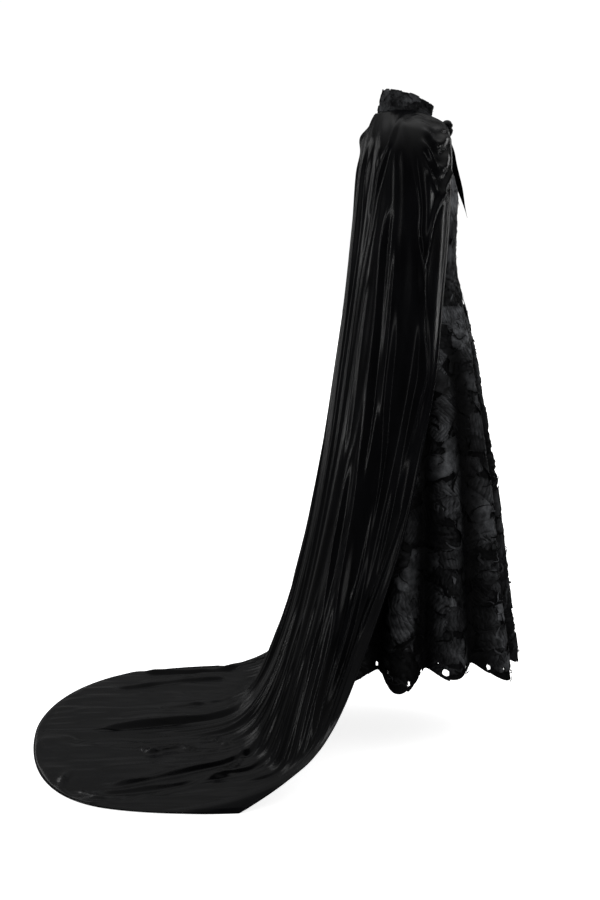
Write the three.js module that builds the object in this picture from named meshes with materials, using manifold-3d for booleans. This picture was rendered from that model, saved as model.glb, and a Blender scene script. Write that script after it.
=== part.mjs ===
// Witch costume: a high-necked sleeveless dress with raised strip work all over it, and a long
// velvet cape that is tied at the throat and ends in a round train on the floor.
// Millimetres. +X is the wearer's left, -Y the front, +Z up. The origin is the middle of the
// seam between collar and bodice, where the wearer's neck and shoulders hold the costume up.

import * as THREE from 'three';
import Module from 'manifold-3d';
import { mergeVertices } from 'three/addons/utils/BufferGeometryUtils.js';

const wasm = await Module();
wasm.setup();

// Driving dimensions
const FLOOR = -1478;
const NET = 2;
const VELVET = 1.8;
const SEAM = 0.3;

// Rows of a table as objects, with the columns called `names`
const table = (names, rows) => (
  rows.map((row) => Object.fromEntries(names.map((name, k) => [name, row[k]]))));

// The dress, one row for each ring. `at` runs down the side from the neck seam. The ring passes
// through side, front and back, and its folds are `fold` deep.
const DRESS = table(
  ['at', 'sideX', 'sideY', 'sideZ', 'frontY', 'frontZ', 'backY', 'backZ', 'fold'],
  [
    [0, 60, 0, -4, -59, -13, 56, 3, 0],
    [62, 115, 2, -34, -75, -42, 61, -26, 0],
    [113, 160, 3, -58, -90, -74, 72, -58, 0],
    [153, 158, 2, -94, -102, -110, 81, -94, 0],
    [205, 151, -4, -140, -114, -150, 86, -140, 0],
    [255, 147, -10, -190, -124, -190, 87, -190, 0],
    [305, 141, -16, -240, -124, -240, 84, -240, 0],
    [395, 127, -24, -330, -121, -330, 72, -330, 0],
    [455, 120, -29, -390, -128, -390, 64, -390, 0],
    [490, 121, -31, -425, -138, -425, 64, -425, 0],
    [545, 136, -33, -480, -152, -480, 80, -480, 3],
    [625, 158, -33, -560, -168, -560, 100, -560, 9],
    [715, 178, -32, -650, -181, -650, 118, -650, 16],
    [845, 203, -30, -780, -200, -780, 138, -780, 24],
    [985, 223, -28, -920, -220, -920, 156, -920, 32],
    [1145, 243, -26, -1080, -234, -1080, 176, -1080, 40],
    [1285, 258, -25, -1220, -250, -1220, 194, -1220, 46],
    [1410, 271, -25, -1345, -268, -1345, 210, -1345, 50],
  ],
);
const NECK_AT = 1.3;
const SHOULDER_AT = 113;
const ARMPIT_AT = 255;
const WAIST_AT = 490;
const HEM_AT = 1392;
const HEM_RISE = 38;        // how much higher the hem lies between two folds
const ARMHOLE_CUT = 30;     // degrees that the armhole reaches into the front, and into the back

// The skirt's folds, one row for each ridge, in degrees round from the front, + to the left.
// `lift` is how far the hem lies above the others there.
const SKIRT_RIDGES = table(
  ['angle', 'lift'],
  [
    [-166, 4],
    [-135, 12],
    [-105, 0],
    [-76, 30],
    [-38, 2],
    [-5, 10],
    [31, 0],
    [66, 14],
    [98, 4],
    [131, 16],
    [161, 6],
  ],
);

// Seams of the skirt, one row for each gore between two of them, in degrees round from the front
const GORES = table(
  ['name', 'from', 'to', 'columns'],
  [
    ['skirt_front', -24, 24, 10],
    ['skirt_side_front_left', 24, 72, 10],
    ['skirt_side_back_left', 72, 126, 11],
    ['skirt_back_left', 126, 180, 11],
    ['skirt_back_right', -180, -126, 11],
    ['skirt_side_back_right', -126, -72, 11],
    ['skirt_side_front_right', -72, -24, 10],
  ],
);

// Strip work: patches of tucked strips in staggered bands over bodice and skirt
const PATCH = { first: 44, pitch: 76, spacing: 98, long: 47, wide: 33, height: 3.6 };

// Stand collar, from the neck seam to its top edge
const COLLAR_TOP = {
  sideX: 56, sideY: 0, sideZ: 45, frontY: -68, frontZ: 13, backY: 44, backZ: 55,
};
const COLLAR_WALL = 2.4;
const COLLAR_BEND = 1.2;    // how sharply its top edge falls from the sides, 1 for a straight fall

// Cape, one row for each section. The section runs from centre back through side to front edge,
// and `round` is the fullness of its two arcs. The left half's train is a little narrower.
const CAPE = table(
  ['name', 'at', 'backY', 'backZ', 'sideX', 'sideY', 'sideZ', 'edgeX', 'edgeY', 'edgeZ', 'fold',
    'round'],
  [
    ['neck', 0, 63, -1.5, 75, -2, 0.5, 18, -97, -25, 1.5, 1.1],
    ['crest', 40, 75, -27, 106, 8, -15, 52, -100, -48, 4, 1.1],
    ['shoulder', 95, 88, -77, 172, 4, -48, 101, -98, -89, 6, 1.15],
    ['arm', 170, 97, -146, 216, 3, -104, 136, -92, -152, 8, 1.18],
    ['bust', 310, 109, -282, 234, 0, -232, 162, -82, -280, 10, 1.18],
    ['waist', 470, 126, -440, 243, 13, -392, 186, -66, -440, 12, 1.18],
    ['hip', 650, 149, -620, 249, 36, -572, 207, -50, -605, 14, 1.15],
    ['thigh', 860, 176, -825, 266, 74, -778, 238, -12, -785, 17, 1.1],
    ['knee', 1075, 214, -1035, 304, 128, -990, 286, 31, -955, 19, 1.08],
    ['calf', 1295, 270, -1245, 362, 190, -1192, 362, 94, -1118, 19, 1.05],
    ['ankle', 1460, 334, -1395, 436, 236, -1335, 452, 158, -1253, 17, 1.0],
    ['break', 1600, 432, FLOOR, 502, 274, -1424, 534, 211, -1332, 12, 1.0],
    ['train', 1790, 640, FLOOR, 574, 440, FLOOR, 598, 278, -1396, 7, 1.0],
    ['hem', 2020, 884, FLOOR, 600, 698, FLOOR, 648, 424, FLOOR, 2, 1.0],
  ],
);
const CAPE_LEFT_CHANGES = {
  neck: { edgeX: 17.3 },
  break: { edgeY: 218, edgeZ: -1356 },
  train: { edgeY: 308, edgeZ: -1450 },
  hem: { sideX: 584, sideY: 654 },
};
const CAPE_LEFT = CAPE.map((row) => ({ ...row, ...CAPE_LEFT_CHANGES[row.name] }));
const CAPE_SIDE = 0.68;     // share of the section from centre back to its side
const CAPE_COLUMNS = 24;
const CAPE_ROWS = 26;

// Folds that fall from the neck, one row for each: its place as a share of the section at the
// neck and at the hem, its height as a share of the row's fold, and its width as a share
const FOLDS_RIGHT = table(
  ['top', 'low', 'height', 'width'],
  [
    [0, 0, 0.5, 0.05],
    [0.2, 0.15, 0.9, 0.05],
    [0.36, 0.3, 1.2, 0.052],
    [0.49, 0.45, 0.8, 0.04],
    [0.6, 0.58, 1.0, 0.042],
    [0.77, 0.75, 1.3, 0.05],
    [0.93, 0.9, 0.7, 0.045],
  ],
);
const FOLDS_LEFT = table(
  ['top', 'low', 'height', 'width'],
  [
    [0, 0, 0.5, 0.05],
    [0.18, 0.17, 1.1, 0.05],
    [0.33, 0.32, 0.8, 0.045],
    [0.46, 0.47, 1.1, 0.045],
    [0.62, 0.61, 1.2, 0.045],
    [0.79, 0.77, 0.9, 0.05],
    [0.94, 0.91, 0.8, 0.045],
  ],
);

// Knot at the throat and the two tie ends that hang from it
const KNOT = { y: -101, z: -34, halfWidth: 22, halfDepth: 10, halfHeight: 18 };
const TIE = { wide: 19, thick: 3, stations: 13, sides: 8 };
const TIE_RIGHT = table(
  ['x', 'y', 'z'],
  [
    [-6, -103, -51.6],
    [-11, -113, -84],
    [-14, -120, -120],
    [-15, -129, -155],
    [-14, -142, -201],
    [-12, -154, -243],
  ],
);
const TIE_LEFT = table(
  ['x', 'y', 'z'],
  [
    [6, -103, -51.6],
    [12, -113, -86],
    [16, -120, -120],
    [18, -128, -155],
    [19, -134, -186],
    [19, -139, -214],
  ],
);

// Gaps in the net between the strips, in rings above the hem and a few up the skirt's ridges
const GAPS = table(
  ['above', 'count', 'turn', 'size'],
  [
    [13, 20, 3, 4.6],
    [26, 11, 14, 3.4],
    [150, 3, -36, 4.2],
    [330, 3, -34, 4.6],
  ],
);
const GAP_CLEAR = 3.2;      // degrees between a gap and the nearest seam
const GAP_THROUGH = 44;

const BLACK_NET = { color: 0x0b0b0c, roughness: 0.72, metalness: 0 };
const BLACK_VELVET = { color: 0x0a0a0b, roughness: 0.46, metalness: 0 };

// Small maths

const radians = (degrees) => degrees * Math.PI / 180;
const mix = (a, b, t) => a + (b - a) * t;
const clamp = (t, low, high) => Math.min(high, Math.max(low, t));
const clamp01 = (t) => clamp(t, 0, 1);
const ease = (t) => clamp01(t) * clamp01(t) * (3 - 2 * clamp01(t));
const wrapDegrees = (a) => a - 360 * Math.round(a / 360);

// Uneven but repeatable share from 0 to 1 for the piece with the numbers i and j
function scatter(i, j) {
  const value = Math.sin(i * 12.9898 + j * 78.233) * 43758.5453;
  return value - Math.floor(value);
}

// Cubic between two values with the given slopes, over a stretch of the given length
function hermite(a, b, slopeA, slopeB, length, t) {
  const t2 = t * t;
  const t3 = t2 * t;
  return a * (2 * t3 - 3 * t2 + 1) + b * (3 * t2 - 2 * t3)
    + length * (slopeA * (t3 - 2 * t2 + t) + slopeB * (t3 - t2));
}

// Smooth value of one column of a table at the station `at`
function column(rows, name, at) {
  const last = rows.length - 1;
  const slopeBetween = (k, m) => (rows[m][name] - rows[k][name]) / (rows[m].at - rows[k].at);
  const slopeOf = (k) => {
    if (k === 0) return 2 * slopeBetween(0, 1) - slopeBetween(0, 2);
    if (k === last) return 2 * slopeBetween(last - 1, last) - slopeBetween(last - 2, last);
    return slopeBetween(k - 1, k + 1);
  };
  const found = rows.findIndex((row) => row.at >= at);
  const i = found < 0 ? last - 1 : Math.max(found - 1, 0);
  const length = rows[i + 1].at - rows[i].at;
  const t = (at - rows[i].at) / length;
  return hermite(rows[i][name], rows[i + 1][name], slopeOf(i), slopeOf(i + 1), length, t);
}

// All columns of a table at one station
function section(rows, at) {
  const names = Object.keys(rows[0]).filter((name) => name !== 'at' && name !== 'name');
  return Object.fromEntries(names.map((name) => [name, column(rows, name, at)]));
}

// Point of a ring at an angle round from the front: two half ellipses that meet at the sides, and
// whose height changes with the given power of the way ahead
function ringPoint(ring, angle, bend = 2) {
  const across = Math.sin(radians(angle));
  const ahead = Math.cos(radians(angle));
  const endY = ahead > 0 ? ring.frontY : ring.backY;
  const endZ = ahead > 0 ? ring.frontZ : ring.backZ;
  const share = Math.abs(ahead);
  const height = mix(ring.sideZ, endZ, share ** bend);
  return new THREE.Vector3(ring.sideX * across, mix(ring.sideY, endY, share), height);
}

// Walls

// Chain of faces between two lines of points that may differ in number
function zip(faces, first, second, flip) {
  let i = 0;
  let j = 0;
  while (i < first.length - 1 || j < second.length - 1) {
    const stepFirst = j === second.length - 1
      || (i < first.length - 1 && (i + 1) / (first.length - 1) <= (j + 1) / (second.length - 1) + 1e-9);
    const face = stepFirst ? [first[i], first[i + 1], second[j]] : [first[i], second[j + 1], second[j]];
    faces.push(flip ? [face[0], face[2], face[1]] : face);
    if (stepFirst) i += 1;
    else j += 1;
  }
}

// Closed wall between an outer and an inner sheet, each a list of columns of points that run
// down. Two columns side by side may differ in number of points.
function wall(outer, inner) {
  const points = [];
  const faces = [];
  const number = (sheet) => sheet.map((line) => line.map((point) => points.push(point) - 1));
  const outside = number(outer);
  const inside = number(inner);
  for (const [sheet, flip] of [[outside, false], [inside, true]]) {
    for (let j = 0; j < sheet.length - 1; j += 1) zip(faces, sheet[j], sheet[j + 1], flip);
  }
  zip(faces, outside[0], inside[0], true);
  zip(faces, outside.at(-1), inside.at(-1), false);
  zip(faces, outside.map((line) => line[0]), inside.map((line) => line[0]), false);
  zip(faces, outside.map((line) => line.at(-1)), inside.map((line) => line.at(-1)), true);
  return closedGeometry(points, faces);
}

// Geometry of a closed body, turned so that its faces point outwards
function closedGeometry(points, faces) {
  const volume = faces.reduce((sum, [a, b, c]) => (
    sum + points[a].dot(new THREE.Vector3().crossVectors(points[b], points[c]))), 0);
  const geometry = new THREE.BufferGeometry();
  const positions = points.flatMap((point) => point.toArray());
  geometry.setAttribute('position', new THREE.Float32BufferAttribute(positions, 3));
  geometry.setIndex(faces.flatMap(([a, b, c]) => (volume > 0 ? [a, b, c] : [a, c, b])));
  geometry.computeVertexNormals();
  return geometry;
}

// Unit normal of a surface at (s, t), from points a small step away on each side
function normalAt(surface, s, t, stepS, stepT) {
  const alongS = surface(s + stepS, t).sub(surface(s - stepS, t));
  const alongT = surface(s, t + stepT).sub(surface(s, t - stepT));
  return alongS.cross(alongT).normalize();
}

function addPiece(group, name, geometry, look) {
  const piece = new THREE.Mesh(geometry, new THREE.MeshStandardMaterial(look));
  piece.name = name;
  group.add(piece);
}

// Dress

// How far out the skirt stands at an angle: 1 on a ridge, 0 in the narrow valley between two,
// with the lift of the hem there
function skirtFold(angle) {
  const count = SKIRT_RIDGES.length;
  const turned = wrapDegrees(angle);
  let i = SKIRT_RIDGES.findLastIndex((ridge) => ridge.angle <= turned);
  if (i < 0) i = count - 1;
  const from = SKIRT_RIDGES[i];
  const to = SKIRT_RIDGES[(i + 1) % count];
  const gap = (to.angle - from.angle + 360) % 360;
  const t = ((turned - from.angle + 360) % 360) / gap;
  return { out: 1 - Math.sin(Math.PI * t) ** 2.2, lift: mix(from.lift, to.lift, ease(t)) };
}

// Inner face of the dress at a station and an angle
function dressPoint(at, angle) {
  const ring = section(DRESS, at);
  const point = ringPoint(ring, angle);
  const push = ring.fold * (skirtFold(angle).out - 0.5);
  point.x += push * Math.sin(radians(angle));
  point.y -= push * Math.cos(radians(angle));
  return point;
}

const dressNormal = (at, angle) => normalAt(dressPoint, at, angle, 2, 0.6);

function ringRadius(at) {
  const ring = section(DRESS, at);
  return (ring.sideX + (ring.backY - ring.frontY) / 2) / 2;
}

function patchList() {
  const patches = [];
  for (let band = 0; PATCH.first + band * PATCH.pitch < HEM_AT - 20; band += 1) {
    const at = PATCH.first + band * PATCH.pitch;
    const count = Math.max(6, Math.round(2 * Math.PI * ringRadius(at) / PATCH.spacing));
    for (let k = 0; k < count; k += 1) {
      patches.push({
        at: at + 16 * (scatter(band, k) - 0.5),
        angle: 360 * (k + 0.5 * (band % 2) + 0.35 * (scatter(k, band) - 0.5)) / count,
        long: PATCH.long * mix(0.8, 1.2, scatter(band + 7, k)),
        wide: PATCH.wide * mix(0.85, 1.2, scatter(band, k + 5)),
        turn: mix(-70, 70, scatter(band + 3, k + 11)),
        height: PATCH.height * mix(0.7, 1.2, scatter(band + 13, k)),
      });
    }
  }
  return patches;
}

const PATCHES = patchList();

// Height of the strip work over the net: a low mound with a steep side for each patch
function relief(at, angle) {
  const radius = ringRadius(at);
  let height = 0;
  for (const patch of PATCHES) {
    const down = at - patch.at;
    const across = radians(wrapDegrees(angle - patch.angle)) * radius;
    if (Math.abs(down) > 60 || Math.abs(across) > 60) continue;
    const turn = radians(patch.turn);
    const u = (across * Math.cos(turn) + down * Math.sin(turn)) / patch.long;
    const v = (down * Math.cos(turn) - across * Math.sin(turn)) / patch.wide;
    height = Math.max(height, patch.height * ease(2.4 * (1 - Math.hypot(u, v))));
  }
  return height;
}

// Wall of one panel of the dress. `angles(at, share)` gives the angle across the panel, and the
// strip work fades out towards the edges in `plain`. Inside, only the columns along the seams
// have a point at every station.
function dressPanel(stations, columns, angles, plain) {
  const place = (station, share, thickness, raised) => {
    const at = typeof station === 'number' ? station : station(angles(0, share));
    const angle = angles(at, share);
    const normal = dressNormal(at, angle);
    if (station === stations[0] || station === stations.at(-1)) normal.setZ(0).normalize();
    const fade = plain.reduce((least, edge) => Math.min(least, Math.abs(at - edge.at) / edge.over), 1);
    const height = thickness + (raised ? relief(at, angle) * fade : 0);
    return dressPoint(at, angle).addScaledVector(normal, height);
  };
  const outer = [];
  const inner = [];
  for (let j = 0; j <= columns; j += 1) {
    const onSeam = j === 0 || j === columns;
    outer.push(stations.map((station) => place(station, j / columns, NET, true)));
    inner.push(stations.filter((_, i) => onSeam || i % 2 === 0)
      .map((station) => place(station, j / columns, 0, false)));
  }
  return wall(outer, inner);
}

// Angle that keeps half a seam's gap from a seam at `edge`, on the side that `sign` gives
function besideSeam(at, edge, sign) {
  const step = 0.5;
  const perDegree = dressPoint(at, edge + step).distanceTo(dressPoint(at, edge - step)) / (2 * step);
  return edge + sign * SEAM / 2 / perDegree;
}

// Even stations through the given marks, with so many steps between each two
function stationsThrough(marks, steps) {
  const list = [marks[0]];
  for (let i = 0; i < steps.length; i += 1) {
    for (let k = 1; k <= steps[i]; k += 1) list.push(mix(marks[i], marks[i + 1], k / steps[i]));
  }
  return list;
}

// Angle of the side seam, or of the armhole's edge where the panel passes it
function sideAngle(at) {
  const t = clamp01((at - SHOULDER_AT) / (ARMPIT_AT - SHOULDER_AT));
  return 90 - ARMHOLE_CUT * Math.sin(Math.PI * t) ** 0.7;
}

function addBodice(group) {
  const stations = stationsThrough([NECK_AT, SHOULDER_AT, ARMPIT_AT, WAIST_AT - SEAM / 2], [4, 6, 6]);
  const plain = [{ at: NECK_AT, over: 110 }, { at: WAIST_AT, over: 14 }];
  const front = (at, share) => mix(
    besideSeam(at, -sideAngle(at), 1), besideSeam(at, sideAngle(at), -1), share);
  const backLeft = (at, share) => mix(
    besideSeam(at, 180 - sideAngle(at), 1), besideSeam(at, 180, -1), share);
  const backRight = (at, share) => -backLeft(at, 1 - share);
  addPiece(group, 'bodice_front', dressPanel(stations, 16, front, plain), BLACK_NET);
  addPiece(group, 'bodice_back_left', dressPanel(stations, 8, backLeft, plain), BLACK_NET);
  addPiece(group, 'bodice_back_right', dressPanel(stations, 8, backRight, plain), BLACK_NET);
}

// Station of the hem at an angle: lowest on the ridges
function hemStation(angle) {
  const { out, lift } = skirtFold(angle);
  return HEM_AT - lift - HEM_RISE * (1 - out);
}

// Small five-sided prism through the wall, uneven in outline
function gapCutter(angle, above, size, seed) {
  const at = hemStation(angle) - above;
  const outline = new THREE.Shape(Array.from({ length: 5 }, (_, k) => {
    const reach = size * mix(0.75, 1.35, scatter(seed, k));
    const turn = radians(72 * k + 30 * scatter(k, seed));
    return new THREE.Vector2(reach * Math.cos(turn), reach * Math.sin(turn));
  }));
  const prism = new THREE.ExtrudeGeometry(outline, { depth: GAP_THROUGH, bevelEnabled: false });
  prism.translate(0, 0, -GAP_THROUGH / 2);
  const point = dressPoint(at, angle);
  const facing = new THREE.Matrix4().lookAt(
    dressNormal(at, angle), new THREE.Vector3(), new THREE.Vector3(0, 0, 1));
  prism.applyMatrix4(facing.setPosition(point));
  return prism;
}

function solidOf(geometry) {
  const bare = geometry.clone();
  bare.deleteAttribute('normal');
  bare.deleteAttribute('uv');
  const merged = mergeVertices(bare);
  const mesh = new wasm.Mesh({
    numProp: 3,
    vertProperties: new Float32Array(merged.attributes.position.array),
    triVerts: new Uint32Array(merged.index.array),
  });
  return new wasm.Manifold(mesh);
}

// The wall with every gap of its own cut through it
function withGaps(geometry, cutters) {
  let solid = solidOf(geometry);
  for (const cutter of cutters) solid = solid.subtract(solidOf(cutter));
  const mesh = solid.getMesh();
  const cut = new THREE.BufferGeometry();
  cut.setAttribute('position', new THREE.Float32BufferAttribute(mesh.vertProperties, 3));
  cut.setIndex(Array.from(mesh.triVerts));
  cut.computeVertexNormals();
  return cut;
}

// Angles of one ring of gaps that lie in a gore, clear of its seams
function gapAngles(ring, gore) {
  const step = ring.count > 3 ? 360 / ring.count : 9;
  const all = Array.from({ length: ring.count }, (_, k) => (
    wrapDegrees(ring.turn + step * (k + 0.4 * scatter(k, ring.above)))));
  return all.filter((angle) => angle > gore.from + GAP_CLEAR && angle < gore.to - GAP_CLEAR);
}

function addSkirt(group) {
  const rows = 24;
  const stations = Array.from({ length: rows + 1 }, (_, i) => (
    (angle) => mix(WAIST_AT + SEAM / 2, hemStation(angle), i / rows)));
  for (const gore of GORES) {
    const angles = (at, share) => (at === 0 ? mix(gore.from, gore.to, share) : mix(
      besideSeam(at, gore.from, 1), besideSeam(at, gore.to, -1), share));
    const panel = dressPanel(stations, gore.columns, angles, [{ at: WAIST_AT, over: 14 }]);
    const cutters = GAPS.flatMap((ring) => (
      gapAngles(ring, gore).map((angle, k) => gapCutter(angle, ring.above, ring.size, ring.above + k))));
    addPiece(group, gore.name, withGaps(panel, cutters), BLACK_NET);
  }
}

// Stand collar: the neck ring carried up to the top ring, a little hollow between the two, with
// an uneven top edge and low strips round it
function addCollar(group) {
  const columns = 32;
  const base = section(DRESS, 0);
  const place = (height, angle) => {
    const point = ringPoint(base, angle).lerp(ringPoint(COLLAR_TOP, angle, COLLAR_BEND), height);
    point.x *= 1 - 0.035 * Math.sin(Math.PI * height);
    return point;
  };
  const gapAngle = SEAM / 2;
  const sheet = (rows, thickness, raised) => Array.from({ length: columns + 1 }, (_, j) => (
    Array.from({ length: rows + 1 }, (__, i) => {
      const angle = mix(-180 + gapAngle, 180 - gapAngle, j / columns);
      const point = place(i / rows, angle);
      const outward = new THREE.Vector3(Math.sin(radians(angle)), -Math.cos(radians(angle)), 0);
      const strip = raised && i > 0 ? 2.2 * scatter(i, j % columns) : 0;
      if (i === rows) point.z += 3 * (scatter(j % columns, 4) - 0.5);
      return point.addScaledVector(outward, thickness + strip);
    })));
  addPiece(group, 'stand_collar', wall(sheet(4, COLLAR_WALL, true), sheet(2, 0, false)), BLACK_NET);
}

// Cape

// Outward push of the folds at a share of the section, `down` as a share of the whole length
function capeFold(folds, share, down, depth) {
  return folds.reduce((sum, fold) => {
    const away = (share - mix(fold.top, fold.low, down)) / fold.width;
    return sum + depth * fold.height * Math.exp(-away * away);
  }, 0);
}

// Point of the plain left half: two cubic arcs, from centre back to the side and on to the edge
function capePoint(rows, at, share) {
  const row = section(rows, at);
  const back = new THREE.Vector3(0, row.backY, row.backZ);
  const side = new THREE.Vector3(row.sideX, row.sideY, row.sideZ);
  const edge = new THREE.Vector3(row.edgeX, row.edgeY, row.edgeZ);
  const first = back.distanceTo(side);
  const second = side.distanceTo(edge);
  const arrive = side.clone().sub(back).divideScalar(first);
  const leave = edge.clone().sub(side).divideScalar(second);
  const passing = arrive.multiplyScalar(second).addScaledVector(leave, first)
    .divideScalar(first + second);
  const rounded = passing.clone().multiplyScalar(row.round);
  const inFirst = share <= CAPE_SIDE;
  const t = inFirst ? share / CAPE_SIDE : (share - CAPE_SIDE) / (1 - CAPE_SIDE);
  const [from, to, length] = inFirst ? [back, side, first] : [side, edge, second];
  const start = inFirst ? new THREE.Vector3(row.round * row.sideX / first, 0, 0) : rounded;
  const end = inFirst ? rounded : leave.multiplyScalar(2).sub(passing);
  const point = new THREE.Vector3(...['x', 'y', 'z'].map((axis) => (
    hermite(from[axis], to[axis], start[axis], end[axis], length, t))));
  point.z = Math.max(point.z, FLOOR);
  return point;
}

// Wall of one half. On the floor its underside lies flat and only the upper face keeps the folds.
function capeHalf(rows, folds, sign) {
  const length = rows.at(-1).at;
  const surface = (at, share) => capePoint(rows, at, share);
  const place = (i, j) => {
    const down = (i / CAPE_ROWS) ** 1.12;
    const at = down * length;
    const share = j / CAPE_COLUMNS;
    const point = surface(at, share);
    const normal = normalAt(
      surface, clamp(at, 3, length - 3), clamp(share, 0.004, 0.996), 3, 0.004).negate();
    const onFloor = ease((FLOOR + 26 - point.z) / 24);
    normal.lerp(new THREE.Vector3(0, 0, 1), onFloor);
    if (j === 0) normal.setX(0);
    normal.normalize();
    const raised = capeFold(folds, share, down, column(rows, 'fold', at));
    const inside = point.clone().addScaledVector(normal, raised * (1 - onFloor));
    const outside = point.clone().addScaledVector(normal, raised + VELVET);
    inside.z = Math.max(inside.z, FLOOR);
    outside.z = Math.max(outside.z, FLOOR + VELVET);
    for (const p of [inside, outside]) p.x = sign * Math.max(p.x, SEAM / 2);
    return [inside, outside];
  };
  const grid = Array.from({ length: CAPE_COLUMNS + 1 }, (_, j) => (
    Array.from({ length: CAPE_ROWS + 1 }, (__, i) => place(i, j))));
  const sheet = (side) => grid.map((line) => line.map((pair) => pair[side]));
  return wall(sheet(1), sheet(0));
}

// Closed body from rings of points, with a point at each end
function cappedRings(rings, start, end) {
  const points = [start, end, ...rings.flat()];
  const faces = [];
  const sides = rings[0].length;
  const number = (i, k) => 2 + i * sides + (k % sides);
  for (let k = 0; k < sides; k += 1) {
    faces.push([0, number(0, k + 1), number(0, k)]);
    faces.push([1, number(rings.length - 1, k), number(rings.length - 1, k + 1)]);
    for (let i = 0; i < rings.length - 1; i += 1) {
      faces.push([number(i, k), number(i, k + 1), number(i + 1, k + 1)]);
      faces.push([number(i, k), number(i + 1, k + 1), number(i + 1, k)]);
    }
  }
  return closedGeometry(points, faces);
}

// Knot: a rounded lump with a groove that winds round it, wider at the sides
function addKnot(group) {
  const rows = 9;
  const sides = 18;
  const place = (rise, turn) => {
    const fromGroove = (rise - 0.35 * Math.sin(turn + 0.6)) / 0.22;
    const groove = 1 - 0.16 * Math.exp(-fromGroove * fromGroove);
    const reach = Math.sqrt(Math.max(0, 1 - Math.abs(rise) ** 2.6)) * groove;
    return new THREE.Vector3(
      KNOT.halfWidth * reach * Math.sin(turn),
      KNOT.y - KNOT.halfDepth * reach * Math.cos(turn),
      KNOT.z + KNOT.halfHeight * rise);
  };
  const rings = Array.from({ length: rows }, (_, i) => {
    const rise = -Math.cos(Math.PI * (i + 1) / (rows + 1));
    return Array.from({ length: sides }, (__, k) => place(rise, 2 * Math.PI * k / sides));
  });
  addPiece(group, 'tie_knot', cappedRings(rings, place(-1, 0), place(1, 0)), BLACK_VELVET);
}

// Tie end: a flat strip along its path, narrow at the knot, full in the middle and pointed
function addTieEnd(group, name, path) {
  const curve = new THREE.CatmullRomCurve3(path.map(({ x, y, z }) => new THREE.Vector3(x, y, z)));
  const rings = Array.from({ length: TIE.stations }, (_, i) => {
    const share = (i + 0.35) / TIE.stations;
    const centre = curve.getPointAt(share);
    const along = curve.getTangentAt(share);
    const turn = mix(0.95, 0.35, share);
    const wideways = new THREE.Vector3(Math.cos(turn), Math.sin(turn), 0);
    const through = along.clone().cross(wideways).normalize();
    const taper = 1 - 0.92 * ease((share - 0.62) / 0.42);
    const half = TIE.wide / 2 * mix(0.5, 1, ease(share * 4)) * taper;
    return Array.from({ length: TIE.sides }, (__, k) => {
      const angle = 2 * Math.PI * (k + 0.5) / TIE.sides;
      const rise = Math.sin(angle);
      const height = TIE.thick / 2 * Math.sign(rise) * Math.abs(rise) ** 0.6;
      return centre.clone()
        .addScaledVector(wideways, half * Math.cos(angle))
        .addScaledVector(through, height);
    });
  });
  addPiece(group, name, cappedRings(rings, curve.getPointAt(0), curve.getPointAt(1)), BLACK_VELVET);
}

const costume = new THREE.Group();
addCollar(costume);
addBodice(costume);
addSkirt(costume);
addPiece(costume, 'cape_left', capeHalf(CAPE_LEFT, FOLDS_LEFT, 1), BLACK_VELVET);
addPiece(costume, 'cape_right', capeHalf(CAPE, FOLDS_RIGHT, -1), BLACK_VELVET);
addKnot(costume);
addTieEnd(costume, 'tie_end_right', TIE_RIGHT);
addTieEnd(costume, 'tie_end_left', TIE_LEFT);

export default costume;
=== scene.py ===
"""Witch costume: the velvet cape with its train, and the net dress with its sewn strips, laid as
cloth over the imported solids. Shapes are worked out in millimetres and made in metres."""
import math

import bmesh
import bpy
import numpy as np
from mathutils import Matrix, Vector


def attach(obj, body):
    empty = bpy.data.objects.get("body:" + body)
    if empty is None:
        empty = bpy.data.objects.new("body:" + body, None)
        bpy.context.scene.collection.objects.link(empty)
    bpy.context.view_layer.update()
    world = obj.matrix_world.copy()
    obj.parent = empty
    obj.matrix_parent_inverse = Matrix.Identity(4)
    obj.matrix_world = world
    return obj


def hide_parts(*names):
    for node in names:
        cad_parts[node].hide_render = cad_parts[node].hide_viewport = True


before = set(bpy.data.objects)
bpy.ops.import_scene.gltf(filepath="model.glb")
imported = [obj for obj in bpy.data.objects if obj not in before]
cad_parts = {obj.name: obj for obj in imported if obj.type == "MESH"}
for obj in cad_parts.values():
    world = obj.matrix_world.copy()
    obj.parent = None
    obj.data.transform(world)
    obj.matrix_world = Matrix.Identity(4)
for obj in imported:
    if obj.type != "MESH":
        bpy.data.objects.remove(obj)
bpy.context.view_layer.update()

MM = 0.001
FLOOR = -1478
VELVET, NET = 1.1, 0.8  # thickness of the two cloths

# ---- tables ----


def table(names, rows):
    """Columns of a table as arrays, one for each word of `names`."""
    return {name: np.array(values, float) for name, values in zip(names.split(), zip(*rows))}


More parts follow.
